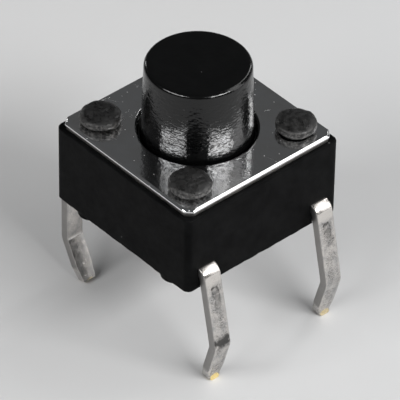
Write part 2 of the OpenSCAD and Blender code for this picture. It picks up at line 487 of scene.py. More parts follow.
class PegRecipe(Recipe):
    """Short round pegs on given points, each a little different."""

    wave_level = 0.56
    seed_step = 3.7

    def __init__(self) -> None:
        """Draws the tree."""
        super().__init__("round_pegs", ("Radius", "Height", "Squareness", "Roughness", "Seed", "Material"))
        pegs = self.draw("GeometryNodeInstanceOnPoints", {
            "Points": self.given["Geometry"], "Instance": self.peg(),
            "Rotation": self.between((0, 0, 0), (0, 0, math.tau)),
            "Scale": self.between((1.0, 0.99, 0.97), (1.05, 1.04, 1.0)),
        })
        real = self.draw("GeometryNodeRealizeInstances", {0: pegs})
        wave = self.draw("ShaderNodeTexNoise", {
            "W": self.times(self.given["Seed"], self.seed_step), "Scale": 2.6, "Detail": 4.0,
        }, noise_dimensions="4D")
        self.end(self.roughened(real, wave))

    def between(self, least: Point, most: Point) -> Socket:
        """Vector drawn at random between two vectors, for each point."""
        values = {0: least, 1: most, "Seed": self.given["Seed"]}
        return self.draw("FunctionNodeRandomValue", values, data_type="FLOAT_VECTOR")

    def peg(self) -> Socket:
        """One peg with a rounded rim, standing on its point."""
        can = self.draw("GeometryNodeMeshCylinder", {
            "Vertices": 72, "Side Segments": 12, "Fill Segments": 14, "Radius": 1.0, "Depth": 2.0,
        })
        x, y, z = self.split(self.draw("GeometryNodeInputPosition"))
        rise = self.math("ABSOLUTE", z)
        across = self.math("SQRT", self.squares(x, y))
        order = self.given["Squareness"]
        total = self.plus(self.math("POWER", across, order), self.math("POWER", rise, order))
        length = self.math("POWER", self.most(total, TINY), self.math("DIVIDE", -1.0, order))
        pull = self.times(length, self.most(across, rise))
        wide = self.times(pull, self.given["Radius"])
        half = self.times(self.given["Height"], 0.5)
        climb = self.times(self.math("MULTIPLY_ADD", z, pull, 1.0), half)
        shaped = self.join(self.times(x, wide), self.times(y, wide), climb)
        return self.draw("GeometryNodeSetPosition", {"Geometry": can, "Position": shaped})


class StripRecipe(Recipe):
    """Flat strip of metal along a path, with rounded edges, tapered and flared at its lowest ends."""

    wave_level = 0.8
    lip_narrowing = 0.6

    def __init__(self) -> None:
        """Draws the tree."""
        super().__init__("metal_strip", (
            "Width", "Thickness", "Edge Radius", "Middle Y", "Tip Level", "Tip Length", "Tip Share",
            "Lip Length", "Lip Flare", "Roughness", "Material",
        ))
        given = self.given
        path = self.draw("GeometryNodeMeshToCurve", {0: given["Geometry"]})
        section = self.draw("GeometryNodeCurvePrimitiveQuadrilateral", {
            "Width": given["Width"], "Height": given["Thickness"],
        })
        rounded = self.draw("GeometryNodeFilletCurve", {
            "Curve": section, "Radius": given["Edge Radius"], "Count": 4,
        }, mode="POLY")
        strip = self.draw("GeometryNodeCurveToMesh", {
            "Curve": path, "Profile Curve": rounded, "Fill Caps": True,
        })
        self.end(self.tipped(strip))

    def tipped(self, geometry: Socket) -> Socket:
        """Strip narrowed towards its tips, with their last edge flared outwards."""
        given = self.given
        x, y, z = self.split(self.draw("GeometryNodeInputPosition"))
        climb = self.minus(z, given["Tip Level"])
        free = self.share_of(climb, given["Tip Length"])
        share = self.plus(given["Tip Share"], self.times(free, self.minus(1.0, given["Tip Share"])))
        lip = self.minus(1.0, self.share_of(climb, given["Lip Length"]))
        narrowing = self.times(self.math("POWER", lip, 2.0), self.lip_narrowing)
        share = self.times(share, self.math("SQRT", self.minus(1.0, narrowing)))
        aside = self.times(self.minus(y, given["Middle Y"]), share)
        flare = self.times(lip, given["Lip Flare"], self.math("SIGN", x))
        moved = self.join(self.plus(x, flare), self.plus(aside, given["Middle Y"]), z)
        wave = self.draw("ShaderNodeTexNoise", {"Scale": 2.6, "Detail": 2.0})
        return self.roughened(geometry, wave, Position=moved)

    def share_of(self, value: Socket, whole: Socket) -> Socket:
        """Share that a value has of a whole, held between 0 and 1."""
        return self.draw("ShaderNodeClamp", {0: self.math("DIVIDE", value, whole)})


# Finishes

@dataclass(frozen=True)
class Wave:
    """Noise with a number of waves in each millimetre, turned about Z and then stretched."""

    scale: float
    detail: float
    stretch: Point | None = field(default=None, kw_only=True)
    turn: float = field(default=0, kw_only=True)


@dataclass(frozen=True)
class Cloud(Wave):
    """Noise taken from one range to another, and held inside it."""

    low: float = 0.35
    high: float = 0.7
    to_low: float = 0
    to_high: float = 1


@dataclass(frozen=True)
class Relief(Wave):
    """Noise that stands out by a depth in millimetres, of which a share shows."""

    depth: float
    share: float = 1


@dataclass(frozen=True)
class Specks:
    """Sparse dots: cells in each millimetre, a dot's share of its cell, and the share of cells with a dot."""

    scale: float
    size: float
    share: float = 0.1
    room: Room = Room.SPACE


class Paint(Sketch):
    """Material whose patterns lie in millimetres on the object."""

    noise_roughness = 0.55

    def __init__(self, name: str) -> None:
        """Starts a material with its shader and coordinates."""
        self.material = bpy.data.materials.new(name)
        self.material.use_nodes = True
        super().__init__(self.material.node_tree)
        self.tree.nodes.clear()
        self.shader = self.add("ShaderNodeBsdfPrincipled")
        self.add("ShaderNodeOutputMaterial", {"Surface": self.shader.outputs[0]})
        self.object = self.add("ShaderNodeTexCoord").outputs["Object"]
        self.spot = self.mapped((1, 1, 1))
        self.x, self.y, self.z = self.split(self.spot)

    def mapped(self, stretch: Point, turn: float = 0) -> Socket:
        """Coordinates in millimetres, turned about Z and then stretched."""
        scale = tuple(MM / share for share in stretch)
        values = {"Vector": self.object, "Rotation": (0, 0, math.radians(turn)), "Scale": scale}
        return self.draw("ShaderNodeMapping", values, vector_type="TEXTURE")

    def noise(self, wave: Wave) -> Socket:
        """Plain noise of a wave."""
        return self.draw("ShaderNodeTexNoise", {
            "Vector": self.mapped(wave.stretch, wave.turn) if wave.stretch else self.spot,
            "Scale": wave.scale, "Detail": wave.detail, "Roughness": self.noise_roughness,
        })

    def cloud(self, cloud: Cloud) -> Socket:
        """Noise of a cloud, in its own range."""
        return self.spread(self.noise(cloud), cloud.low, cloud.high, cloud.to_low, cloud.to_high)

    def specks(self, specks: Specks) -> Socket:
        """1 inside a dot and 0 elsewhere."""
        cells = self.add("ShaderNodeTexVoronoi", {"Vector": self.spot, "Scale": specks.scale},
                         voronoi_dimensions=specks.room.value).outputs
        near = self.spread(cells["Distance"], specks.size / 2, specks.size, 1, 0)
        return self.times(near, self.math("LESS_THAN", self.split(cells["Color"])[0], specks.share))

    def blend(self, factor: Socket, first: Any, second: Any) -> Socket:
        """Colour between two colours, by the sockets that a Mix node has for colours."""
        values = {"Factor_Float": factor, "A_Color": first, "B_Color": second}
        node = self.add("ShaderNodeMix", data_type="RGBA")
        for socket in node.inputs:
            if socket.identifier in values:
                self.feed(socket, values[socket.identifier])
        return next(socket for socket in node.outputs if socket.identifier == "Result_Color")

    def bump(self, height: Socket, depth: float, share: Any, normal: Socket | None = None) -> Socket:
        """Normal of a relief.

        Args:
            height: Height from 0 to 1.
            depth: Depth of the relief in millimetres.
            share: Share of the relief that shows.
            normal: Normal of a coarser relief under it.

        Returns:
            The new normal.
        """
        values = {"Height": height, "Distance": depth * MM, "Strength": share}
        if normal:
            values["Normal"] = normal
        return self.draw("ShaderNodeBump", values)

    def relief(self, relief: Relief, normal: Socket | None = None, share: Socket | None = None) -> Socket:
        """Normal of a relief, over a coarser one and with a share of its own if they are given."""
        return self.bump(self.noise(relief), relief.depth, share or relief.share, normal)


@dataclass(frozen=True)
class Finish:
    """Look of a surface."""

    name: str

    def make(self) -> Material:
        """Draws the material."""
        paint = Paint(self.name)
        for title, value in self.look(paint).items():
            paint.feed(paint.shader.inputs[title], value)
        return paint.material

    def look(self, paint: Paint) -> Look:
        """Works out the shader's inputs."""
        raise NotImplementedError


def grey(value: float, warmth: float = 0) -> Colour:
    """Grey of a brightness, warmer or cooler by a share of it."""
    return (value * (1 + warmth), value, value * (1 - warmth), 1)


@dataclass(frozen=True)
class MouldedPlastic(Finish):
    """Black moulding with a fine satin grain, specks of dust and paler worn patches."""

    dark: Colour = grey(0.002, -0.05)
    light: Colour = grey(0.005, -0.03)
    dusty: Colour = grey(0.1)
    gloss: float = 0.03
    mottle: Cloud = Cloud(2.2, 5)
    dust: Specks = Specks(3.1, 0.11)
    sheen: Cloud = Cloud(5, 4, 0.3, 0.7, 0.34, 0.5)
    grain: Relief = Relief(22, 2, 0.006, 0.7)

    def look(self, paint: Paint) -> Look:
        """Works out the shader's inputs."""
        colour = paint.blend(paint.cloud(self.mottle), self.dark, self.light)
        return {
            "Specular IOR Level": self.gloss,
            "Base Color": paint.blend(paint.specks(self.dust), colour, self.dusty),
            "Roughness": paint.cloud(self.sheen),
            "Normal": paint.relief(self.grain),
        }


@dataclass(frozen=True)
class StakedPlastic(Finish):
    """Black plastic pressed over while soft: charcoal, with a highlight painted in patches round its sides.
    """

    top_z: float
    dark: Colour = grey(0.003, 0.02)
    light: Colour = grey(0.013, 0.03)
    # colour of the highlight painted round the sides of the heads
    side_highlight: Colour = grey(0.14, 0.04)
    gloss: float = 0.5
    highlight_depth: Flat = (0.06, 0.2)
    mottle: Cloud = Cloud(9, 6, 0.35, 0.72)
    highlight_patches: Cloud = Cloud(13, 5, 0.45, 0.68)
    sheen: Cloud = Cloud(8, 3, 0.35, 0.65, 0.24, 0.6)
    dents: Relief = Relief(6, 4, 0.02, 0.6)
    grain: Relief = Relief(24, 3, 0.014, 0.8)

    def look(self, paint: Paint) -> Look:
        """Works out the shader's inputs."""
        colour = paint.blend(paint.cloud(self.mottle), self.dark, self.light)
        # painted highlight: paler patches on the lower sides of each head, where light catches the rough
        # plastic
        side = paint.spread(paint.z, *(self.top_z - depth for depth in self.highlight_depth))
        painted_highlight = paint.times(side, paint.cloud(self.highlight_patches))
        return {
            "Specular IOR Level": self.gloss,
            "Base Color": paint.blend(painted_highlight, colour, self.side_highlight),
            "Roughness": paint.cloud(self.sheen),
            "Normal": paint.relief(self.grain, paint.relief(self.dents)),
        }


@dataclass(frozen=True)
class ButtonPlastic(Finish):
    """Glossy black moulding with an orange-peel skin."""

    top_z: float
    dark: Colour = grey(0.0012, -0.06)
    light: Colour = grey(0.00204, -0.04)
    dusty: Colour = grey(0.06)
    gloss: float = 0.4
    smear: Cloud = Cloud(1.6, 4)
    dust: Specks = Specks(2.6, 0.07)
    sheen: Cloud = Cloud(3, 4, 0.3, 0.7, 0.12, 0.18)
    waves: Relief = Relief(5, 1, 0.004)
    peel: Relief = Relief(13, 1, 0.016, stretch=(0.55, 0.55, 1))
    rim_depth: Flat = (0.1, 0.25)
    top_peel: float = 0.3

    def look(self, paint: Paint) -> Look:
        """Works out the shader's inputs."""
        colour = paint.blend(paint.cloud(self.smear), self.dark, self.light)
        share = paint.spread(paint.minus(self.top_z, paint.z), *self.rim_depth, self.top_peel)
        return {
            "Specular IOR Level": self.gloss,
            "Base Color": paint.blend(paint.specks(self.dust), colour, self.dusty),
            "Roughness": paint.cloud(self.sheen),
            "Normal": paint.relief(self.peel, paint.relief(self.waves), share),
        }


@dataclass(frozen=True)
class SheetSteel(Finish):
    """Bright plated sheet with smears, fine scratches and specks of dust, torn grey along its cut edges."""

    bright: Colour = grey(0.88, -0.015)
    smeared: Colour = grey(0.7744, 0.01)
    dusty: Colour = grey(0.4)
    torn: Colour = grey(0.3, 0.05)
    rough: Flat = (0.07, 0.15)
    torn_rough: float = 0.4
    marked_rough: float = 0.3
    smear: Cloud = Cloud(1.1, 6)
    tear: Cloud = Cloud(9, 3, 0.25, 0.6, 0.55)
    dust: tuple[Specks, ...] = (Specks(2.3, 0.055, room=Room.PLAN), Specks(4.7, 0.08, room=Room.PLAN))
    scratches: tuple[Cloud, ...] = tuple(
        Cloud(9, 1, 0.74, 0.77, stretch=(fineness, 3, 1), turn=turn)
        for fineness, turn in ((0.1, 24), (0.07, -38), (0.12, 81))
    )
    scratched: Cloud = Cloud(0.8, 2, 0.45, 0.6, 0, 0.8)
    scratch_depth: float = 0.004
    scratch_share: float = 0.8
    waves: Relief = Relief(0.7, 1, 0.02, 0.5)
    grain: Relief = Relief(11, 2, 0.004)

    def look(self, paint: Paint) -> Look:
        """Works out the shader's inputs."""
        smear = paint.cloud(self.smear)
        dust = paint.most(*map(paint.specks, self.dust))
        scratch = paint.times(paint.most(*map(paint.cloud, self.scratches)), paint.cloud(self.scratched))
        sheared = paint.add("ShaderNodeAttribute", attribute_name="sheared").outputs["Fac"]
        tear = paint.times(sheared, paint.cloud(self.tear))
        colour = paint.blend(dust, paint.blend(smear, self.bright, self.smeared), self.dusty)
        marks = paint.bump(scratch, self.scratch_depth, self.scratch_share, paint.relief(self.waves))
        return {
            "Base Color": paint.blend(tear, colour, self.torn),
            "Metallic": paint.minus(1.0, dust),
            "Roughness": paint.plus(
                paint.spread(smear, 0, 1, *self.rough), paint.times(tear, self.torn_rough),
                paint.times(paint.most(scratch, dust), self.marked_rough),
            ),
            "Normal": paint.relief(self.grain, marks),
        }


@dataclass(frozen=True)
class PlatedBrass(Finish):
    """Silver plating over brass, dulled in streaks down the legs and bare at their cut tips."""

    strip_y: float
    half_w: float
    knee_z: float
    tip_z: float
    bright: Colour = grey(0.62, 0.05)
    dim: Colour = grey(0.372)
    dull: Colour = grey(0.04, 0.02)
    torn: Colour = grey(0.3, 0.03)
    brass: Colour = (0.98, 0.78, 0.36, 1)
    sheen: Cloud = Cloud(6, 4, 0.3, 0.7, 0.18, 0.28)
    marked_rough: float = 0.2
    drawn: Wave = Wave(16, 3, stretch=(1, 1, 7))
    drawn_depth: float = 0.004
    drawn_share: Flat = (0.06, 0.3)
    dents: Relief = Relief(4, 3, 0.008)
    mottle: Wave = Wave(3.5, 6)
    mottle_range: Flat = (0.85, 1.25)
    worn_z: Flat = (0.5, 0.35)
    sheared_w: Flat = (0.03, 0.005)
    bare_half: float = 0.2
    bare_h: float = 0.2
    bare_rim: Flat = (0.85, 1.0)
    bare_edge: Cloud = Cloud(9, 2, 0.3, 0.7, -0.12, 0.12)
    # painted reflection on the bare tips, by how far a leg lies towards +X and -Y
    glint_reach: float = 5
    least_glint: float = 0.35
    loop_z: Flat = (-0.35, 0.24)
    loop_r: float = 0.085
    loop_w: float = 0.075
    loop_fade: float = 0.5
    loop_wander: Cloud = Cloud(3.1, 5, 0.3, 0.7, -0.09, 0.09)
    loop_breaks: Cloud = Cloud(5, 5, 0.36, 0.52, 0.15, stretch=(1, 1, 1.6))
    smear_r: Flat = (0.051, 0.1105)
    smear_share: float = 0.7
    line_half: Flat = (0.2, 0.27)
    line_marks: Cloud = Cloud(13, 3, 0.5, 0.6, stretch=(1, 1, 8))
    line_breaks: Cloud = Cloud(2.4, 5, 0.4, 0.54, 0.1, 0.9)
    knee_rise: float = 0.12
    knee_h: Flat = (0.08, 0.3)
    knee_half: Flat = (0.24, 0.32)
    knee_share: float = 0.9
    knee_side: Flat = (-0.5, 0.5)
    knee_far_share: float = 0.15
    knee_edge: Cloud = Cloud(5, 4, 0.3, 0.7, -0.12, 0.12)

    def look(self, paint: Paint) -> Look:
        """Works out the shader's inputs."""
        drawn = paint.noise(self.drawn)
        below = paint.spread(paint.z, *self.worn_z)
        mottle = paint.spread(paint.plus(paint.noise(self.mottle), drawn), *self.mottle_range)
        colour = paint.blend(paint.times(mottle, below), self.bright, self.dim)
        aside = paint.apart(paint.math("ABSOLUTE", paint.y), self.strip_y)
        outer = self.outer(paint)
        stain = paint.most(self.loop(paint, aside), self.lines(paint, aside), self.knee(paint, aside))
        stain = paint.times(stain, below, outer)
        sheared = paint.spread(aside, *(self.half_w - depth for depth in self.sheared_w))
        plated = paint.blend(sheared, paint.blend(stain, colour, self.dull), self.torn)
        marked = paint.times(paint.most(stain, sheared), self.marked_rough)
        share = paint.spread(outer, 0, 1, *self.drawn_share)
        return {
            "Base Color": paint.blend(self.bare(paint, aside), plated, self.brass),
            "Metallic": 1.0,
            "Roughness": paint.plus(paint.cloud(self.sheen), marked),
            "Normal": paint.bump(drawn, self.drawn_depth, share, paint.relief(self.dents, share=share)),
        }

    def outer(self, paint: Paint) -> Socket:
        """1 on the faces that look away from the switch and 0 elsewhere."""
        facing = paint.split(paint.add("ShaderNodeTexCoord").outputs["Normal"])[0]
        return paint.math("GREATER_THAN", paint.times(facing, paint.x), 0.0)

    def bare(self, paint: Paint, aside: Socket) -> Socket:
        """Oval of bare metal at each cut tip, shown fully on the leg at +X and -Y and dimmed on the others as
        a painted reflection.
        """
        climb = paint.math("DIVIDE", paint.minus(paint.z, self.tip_z), self.bare_h)
        oval = paint.squares(paint.math("DIVIDE", aside, self.bare_half), climb)
        shape = paint.spread(paint.plus(oval, paint.cloud(self.bare_edge)), *self.bare_rim, 1, 0)
        # painted reflection: the bare oval shows fully on the +X, -Y leg and down to 0.35 of it on the others
        painted_glint = paint.spread(paint.minus(paint.x, paint.y), 0, self.glint_reach, self.least_glint)
        return paint.times(shape, painted_glint)

    def loop(self, paint: Paint, aside: Socket) -> Socket:
        """Dark outline of a long loop below each upper bend, fainter towards its lower end."""
        low, high = self.loop_z
        past = paint.most(paint.minus(paint.z, high), paint.minus(low, paint.z), 0.0)
        across = paint.plus(aside, paint.cloud(self.loop_wander))
        far = paint.math("SQRT", paint.squares(across, past))
        line = paint.spread(paint.apart(far, self.loop_r), 0, self.loop_w, 1, 0)
        smear = paint.spread(far, *self.smear_r, self.smear_share, 0)
        fade = paint.spread(paint.z, low, high, self.loop_fade)
        return paint.times(paint.most(line, smear), paint.cloud(self.loop_breaks), fade)

    def lines(self, paint: Paint, aside: Socket) -> Socket:
        """Broken dark lines drawn down the middle of each leg."""
        inner = paint.spread(aside, *self.line_half, 1, 0)
        return paint.times(paint.cloud(self.line_marks), paint.cloud(self.line_breaks), inner)

    def knee(self, paint: Paint, aside: Socket) -> Socket:
        """Dark patch just above each knee, fainter on the +Y side."""
        ragged = paint.cloud(self.knee_edge)
        near = paint.apart(paint.z, self.knee_z + self.knee_rise)
        patch = paint.spread(paint.plus(near, ragged), *self.knee_h, self.knee_share, 0)
        inner = paint.spread(paint.plus(aside, ragged), *self.knee_half, 1, 0)
        return paint.times(patch, inner, paint.spread(paint.y, *self.knee_side, 1, self.knee_far_share))


@dataclass(frozen=True)
class SpringSteel(Finish):
    """Bright hard sheet with faint rings from forming."""

    bright: Colour = grey(0.62, -0.01)
    smeared: Colour = grey(0.527, 0.02)
    smear: Cloud = Cloud(2, 5)
    rough: Flat = (0.16, 0.3)
    ring_depth: float = 0.002
    ring_share: float = 0.3

    def look(self, paint: Paint) -> Look:
        """Works out the shader's inputs."""
        smear = paint.cloud(self.smear)
        rings = paint.add("ShaderNodeTexWave", {"Vector": paint.spot, "Scale": 3.0, "Distortion": 0.6},
                          wave_type="RINGS", rings_direction="Z").outputs["Fac"]
        return {
            "Base Color": paint.blend(smear, self.bright, self.smeared),
            "Metallic": 1.0,
            "Roughness": paint.spread(smear, 0, 1, *self.rough),
            "Normal": paint.bump(rings, self.ring_depth, self.ring_share),
        }


@dataclass(frozen=True)
class PaleFloor(Finish):
    """Plain pale studio floor with a hint of unevenness."""

    light: Colour = grey(0.57, -0.01)
    dark: Colour = grey(0.5529, 0.005)
    patches: Wave = Wave(0.06, 3)
    sheen: Cloud = Cloud(1.5, 2, 0.3, 0.7, 0.55, 0.65)

    def look(self, paint: Paint) -> Look:
        """Works out the shader's inputs."""
        colour = paint.blend(paint.noise(self.patches), self.light, self.dark)
        return {"Base Color": colour, "Roughness": paint.cloud(self.sheen)}


# Sub-assemblies

@dataclass
class Terminals:
    """Two stamped strips with two legs each: one carries the middle contact, one the dome's rim."""

    leg_w: float = 0.64
    strip_t: float = 0.3
    edge_r: float = 0.05
    strip_z: float = 0.67
    bend_r: float = 0.08
    bend_inset: float = 0.07
    lean: float = 6
    toe_in: float = 18
    sway: float = 6
    knee_r: float = 0.25
    knee_drop: float = 1.72
    tip_w: float = 0.42
    tip_l: float = 0.5
    tip_room: float = 0.01
    lip_l: float = 0.12
    lip_flare: float = 0.09
    lip_room: float = 3.4
    lip_steps: int = 6
    contact_r: float = 0.6
    tongue_w: float = 0.8
    bridge_half: float = 0.9
    pad_reach: float = 0.4
    joggle_l: float = 0.3
    roughness: float = 0.006
    middle: Extent = extent_of("middle_terminal")
    base: Extent = extent_of("base")

    def __post_init__(self) -> None:
        """Works out the levels and the middle lines of the strips."""
        self.strip_y = self.middle.high.y - self.leg_w / 2
        self.tip_z = self.middle.low.z
        self.floor_z = self.middle.high.z
        self.mid_z = self.strip_z + self.strip_t / 2
        self.high_z = self.floor_z - self.strip_t / 2
        self.bend_mid = (self.base.high.x - self.bend_inset, self.strip_z - self.bend_r)
        self.recipe = StripRecipe()

    def leg(self, sway: float) -> list[Flat]:
        """Middle line of a +X leg seen edge on, from its upper bend to its tip.

        Args:
            sway: Degrees by which the leg is pushed outwards.

        Returns:
            Points across and along the leg.
        """
        lean, toe = self.lean + sway, self.toe_in + self.lip_room - sway
        slope, inwards = math.radians(lean), math.radians(toe)
        reach, half = self.bend_r - self.knee_r, self.strip_t / 2
        shin = (self.bend_mid[1] + self.knee_drop + reach * math.sin(slope)) / math.cos(slope)
        knee = (self.bend_mid[0] + reach * math.cos(slope) + shin * math.sin(slope), -self.knee_drop)
        bend = arc(self.bend_mid, self.bend_r + half, 90, lean)
        fold = arc(knee, self.knee_r + half, lean, -toe)
        last_x, last_z = fold[-1]
        end = self.tip_z + half * math.sin(inwards) + self.tip_room
        stops = [end + self.lip_l * i / self.lip_steps for i in range(self.lip_steps, -1, -1)]
        toes = [(last_x - (last_z - z) * math.tan(inwards), z) for z in [end + self.tip_l] + stops]
        return bend + fold + toes

    def strip(self, name: str, path: Sequence[Point], width: float, material: Material) -> Piece:
        """Strip of the terminals' sheet along a path, in millimetres."""
        return self.recipe.make(name, path, [(i, i + 1) for i in range(len(path) - 1)], {
            "Width": width, "Thickness": self.strip_t, "Edge Radius": self.edge_r, "Middle Y": path[0][1],
            "Tip Level": self.tip_z, "Tip Length": self.tip_l, "Tip Share": self.tip_w / self.leg_w,
            "Lip Length": self.lip_l, "Lip Flare": self.lip_flare, "Roughness": self.roughness,
            "Material": material,
        })

    def legged(self, name: str, y: float, raised: list[Flat], material: Material) -> Piece:
        """Strip with a leg at each end.

        Args:
            name: Name of the new object.
            y: Middle plane of the strip.
            raised: Points of the +X half of a raised middle, or none.
            material: Finish of the strip.

        Returns:
            The strip, in millimetres.
        """
        far = [(-x, z) for x, z in reversed(raised + self.leg(-self.sway))]
        path = [(x, y, z) for x, z in far + raised + self.leg(self.sway)]
        return self.strip(name, path, self.leg_w, material)

    def build(self, material: Material) -> list[Piece]:
        """Builds both terminals, in millimetres.

        Args:
            material: Finish of the terminals.

        Returns:
            The terminal with the middle contact and the one under the dome's rim.
        """
        middle = self.legged("middle_terminal_strip", self.strip_y, [], material)
        step = [(self.strip_y, self.mid_z), (self.contact_r + self.joggle_l, self.mid_z),
                (self.contact_r, self.high_z), (0, self.high_z)]
        tongue = self.strip("tongue", [(0, y, z) for y, z in step], self.tongue_w, material)
        combine(middle, tongue, Operation.ADD)
        contact = Skin()
        contact.rod((0, 0), self.contact_r, self.floor_z - self.strip_t, self.floor_z)
        combine(middle, contact.solid("contact"), Operation.ADD)

        raised = [(self.bridge_half, self.high_z), (self.bridge_half + self.joggle_l, self.mid_z)]
        rim = self.legged("rim_terminal_strip", -self.strip_y, raised, material)
        pad = Skin()
        pad.box((-self.bridge_half, -self.strip_y, self.floor_z - self.strip_t),
                (self.bridge_half, self.pad_reach + self.leg_w / 2 - self.strip_y, self.floor_z))
        combine(rim, pad.solid("pad"), Operation.ADD)
        return [middle, rim]

    def dress(self, pieces: Sequence[Piece], material: Material) -> None:
        """Finishes both terminals and sets them on the switch."""
        for piece, node in zip(pieces, ("middle_terminal", "rim_terminal")):
            place(piece, material, Body.SWITCH, node)


@dataclass
class BaseMoulding:
    """Base with its cavity, notches and wells, its feet and the stakes that hold the cover plate."""

    corner_r: float = 0.2
    edge_r: float = 0.07
    edge_margin: float = 0.105
    edge_wave: float = 3.2
    edge_chips: float = 11
    chip_seed: float = 7
    mean_wear: float = 0.6
    least_wear: float = 0.25
    wave_wear: float = 0.55
    chip_wear: float = 0.3
    cavity_r: float = 2.2
    foot_h: float = 0.2
    foot_r: float = 0.42
    foot_inset: float = 1.1
    foot_edge: float = 0.05
    foot_squareness: float = 9
    foot_roughness: float = 0.02
    well_r: float = 0.3
    notch_half: float = 0.24
    notch_depth: float = 0.25
    notch_lap: float = 0.01
    stake_inset: float = 0.95
    head_r: float = 0.64
    head_squareness: float = 3.2
    head_roughness: float = 0.12
    head_shift: tuple[Flat, ...] = ((0, 0), (0, -0.05), (-0.05, 0.1), (0, 0))
    post_r: float = 0.42
    sunk: float = 0.05
    seed: int = 5
    base: Extent = extent_of("base")
    cover: Extent = extent_of("cover_plate")
    dome: Extent = extent_of("snap_dome")

    def __post_init__(self) -> None:
        """Reads the main levels."""
        self.half = self.base.high.x
        self.seat_z = self.cover.low.z
        self.cover_z = self.cover.high.z
        self.head_h = self.base.high.z - self.cover_z
        self.stake = self.half - self.stake_inset

    def wear(self, point: Flat, side: float) -> float:
        """Share of the full edge radius at a point round the base."""
        spot = Vector((*point, 0))
        wave = noise.noise(spot * self.edge_wave + Vector((0, 0, side)))
        chip = noise.noise(spot * self.edge_chips + Vector((0, 0, side + self.chip_seed)))
        return min(1.0, max(self.least_wear, self.mean_wear + self.wave_wear * wave + self.chip_wear * chip))

    def edge(self, skin: Skin, z: float, up: int, steps: int = 4) -> list[Ring]:
        """Rings of an upper or lower edge, from the flat to the side.

        Args:
            skin: Mesh that the rings go into.
            z: Level of the flat.
            up: 1 for the upper edge and -1 for the lower one.
            steps: Steps round the edge.

        Returns:
            The rings in order.
        """
        flat, inner, outer = (square_ring(self.half - depth, self.corner_r - depth)
                              for depth in (self.edge_margin, self.edge_r, 0))
        shares = [self.wear(p, z) for p in outer]
        rings = [skin.ring(flat, z)]
        for i in range(steps + 1):
            turn = math.pi / 2 * i / steps
            rings.append(skin.loop([
                (*Vector(a).lerp(Vector(b), share * (1 - math.sin(turn))),
                 z - up * share * self.edge_r * (1 - math.cos(turn)))
                for a, b, share in zip(outer, inner, shares)
            ]))
        return rings + [skin.ring(outer, z - up * self.edge_margin)]

    def block(self) -> Piece:
        """Block of the base with its round cavity, in millimetres."""
        skin = Skin()
        plan = [math.atan2(y, x) for x, y in square_ring(self.half, self.corner_r)]
        cavity = [(self.cavity_r * math.cos(a), self.cavity_r * math.sin(a)) for a in plan]
        rings = [skin.ring(cavity, self.dome.low.z), skin.ring(cavity, self.seat_z)]
        rings += self.edge(skin, self.seat_z, 1)
        rings += reversed(self.edge(skin, self.foot_h, -1))
        skin.tube(rings)
        skin.cap(rings[0])
        skin.cap(rings[-1])
        return skin.solid("base_moulding")

    def build(self, terminals: Terminals, strips: Sequence[Piece]) -> Piece:
        """Builds the base, cut for the terminals that it was moulded round.

        Args:
            terminals: Sizes of the terminals.
            strips: Their meshes, in millimetres.

        Returns:
            The base, in millimetres.
        """
        base = self.block()
        cuts, posts = Skin(), Skin()
        for sx, sy in CORNERS:
            x = [sx * (self.half - self.notch_depth), sx * (self.half + self.notch_depth)]
            y = sy * terminals.strip_y
            cuts.box((min(x), y - self.notch_half, 0),
                     (max(x), y + self.notch_half, terminals.strip_z + self.notch_lap))
            posts.rod((sx * self.stake, sy * self.stake), self.post_r,
                      self.seat_z - self.sunk, self.cover_z + self.sunk)
        for y, top in ((terminals.strip_y, terminals.mid_z), (-terminals.strip_y, terminals.high_z)):
            cuts.rod((0, y), self.well_r, 0, top)
        combine(base, cuts.solid("cuts"), Operation.CUT)
        for strip in strips:
            combine(base, strip, Operation.CUT, keep=True)
        combine(base, posts.solid("posts"), Operation.ADD)
        return base

    def dress(self, base: Piece, plain: Material, staked: Material) -> None:
        """Adds the stakes and feet, finishes all three and sets them on the switch.

        Args:
            base: Base built before, in millimetres.
            plain: Finish of the moulding.
            staked: Finish of the formed heads.
        """
        recipe = PegRecipe()
        spots = [(sx * self.stake + dx, sy * self.stake + dy, self.cover_z)
                 for (sx, sy), (dx, dy) in zip(CORNERS, self.head_shift)]
        heads = recipe.make("stake_heads", spots, [], {
            "Radius": self.head_r, "Height": self.head_h, "Squareness": self.head_squareness,
            "Roughness": self.head_roughness, "Seed": self.seed, "Material": staked,
        })
        x, y = self.half - self.foot_inset, self.half - self.foot_edge - self.foot_r
        spots = [(sx * x, sy * y, self.foot_h + self.sunk) for sx, sy in CORNERS]
        feet = recipe.make("base_feet", spots, [], {
            "Radius": self.foot_r, "Height": -self.foot_h - self.sunk, "Squareness": self.foot_squareness,
            "Roughness": self.foot_roughness, "Seed": self.seed, "Material": plain,
        })
        for piece, material in ((base, plain), (heads, staked), (feet, plain)):
            place(piece, material, Body.SWITCH, "base")


